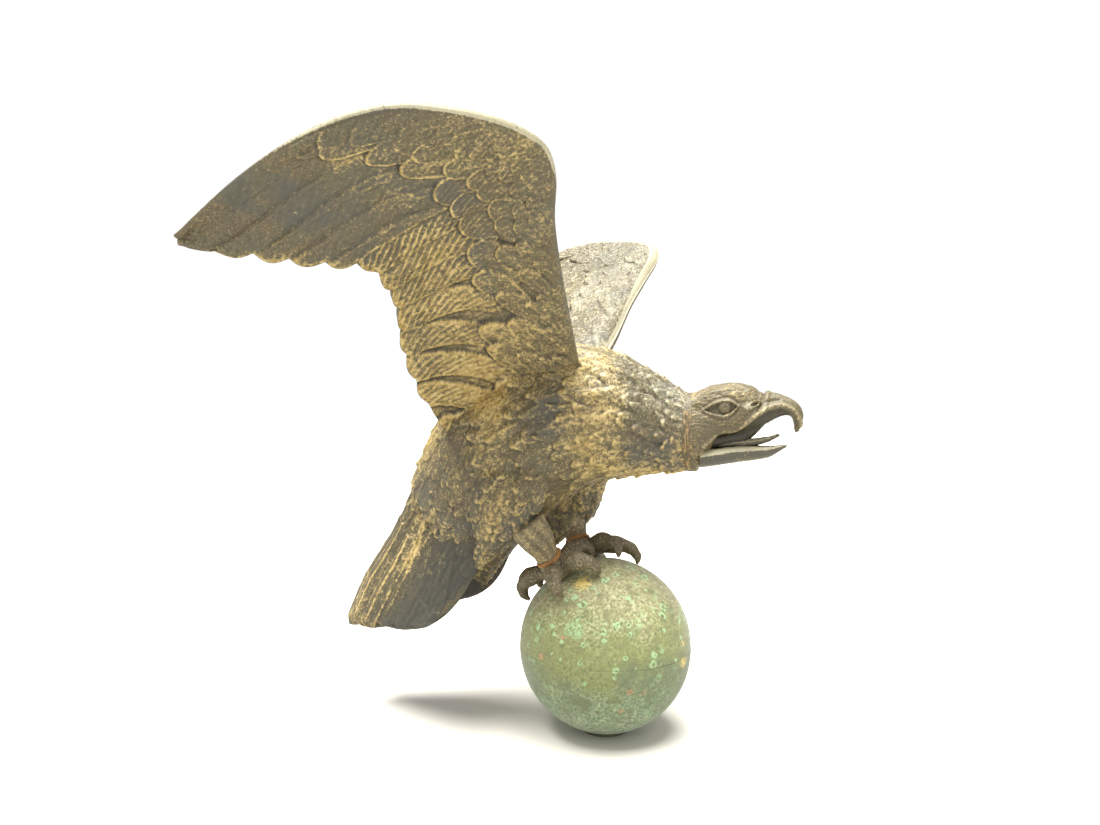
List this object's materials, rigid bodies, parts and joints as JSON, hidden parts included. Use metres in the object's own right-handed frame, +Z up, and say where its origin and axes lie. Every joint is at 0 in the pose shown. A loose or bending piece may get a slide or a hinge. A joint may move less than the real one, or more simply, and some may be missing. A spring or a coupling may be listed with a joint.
{
  "type": "weather vane",
  "caption": "Eagle weather vane: hollow gilded eagle with raised wings, open beak and folded tail, gripping a verdigris copper ball that turns on a hidden spindle.",
  "frame": {"origin": "centre of the mast socket's mouth at the foot of the spindle, level with the ball's lowest point", "axes": "+X is the way the beak points, +Y is the eagle's left, +Z is up along the spindle"},
  "size_m": [0.4177, 0.5382, 0.4716],
  "materials": {
    "gilded_metal": "dark olive brown patina with worn gilding on the ridges",
    "head_metal": "dark brown patina with traces of gilding",
    "beak_metal": "dark grey brown patina",
    "foot_metal": "dark brown, rubbed",
    "solder_band": "filed joint band",
    "copper_patina": "green verdigris with pits and bare copper spots",
    "bearing_brass": "turned",
    "steel": "turned",
    "binding_wire": "rust coloured copper wire"
  },
  "bodies": {
    "spindle": {"spindle": "steel", "retaining_clip": "steel", "thrust_ball": "steel"},
    "vane": {"ball_upper_half": "copper_patina", "ball_lower_half": "copper_patina", "ball_band": "bearing_brass", "bottom_ferrule": "bearing_brass", "bearing_tube": "bearing_brass", "tube_cap": "bearing_brass", "lower_bush": "bearing_brass", "upper_bush": "bearing_brass", "body_right_shell": "gilded_metal", "body_left_shell": "gilded_metal", "neck_ring": "solder_band", "head_shell": "head_metal", "lower_jaw": "beak_metal", "tongue": "beak_metal", "right_wing_outer": "gilded_metal", "right_wing_inner": "gilded_metal", "left_wing_outer": "gilded_metal", "left_wing_inner": "gilded_metal", "wing_rod": "steel", "tail_upper": "gilded_metal", "tail_under": "gilded_metal", "right_leg": "foot_metal", "left_leg": "foot_metal", "right_ankle_ring": "binding_wire", "left_ankle_ring": "binding_wire", "right_foot": "foot_metal", "left_foot": "foot_metal", "leg_rods": "steel", "rod_washers": "steel", "rod_nuts": "steel"}
  },
  "joints": [
    {"name": "vane_turn", "type": "hinge", "parent": "spindle", "child": "vane", "pos_m": [0, 0, 0], "axis": [0, 0, 1], "continuous": true}
  ]
}
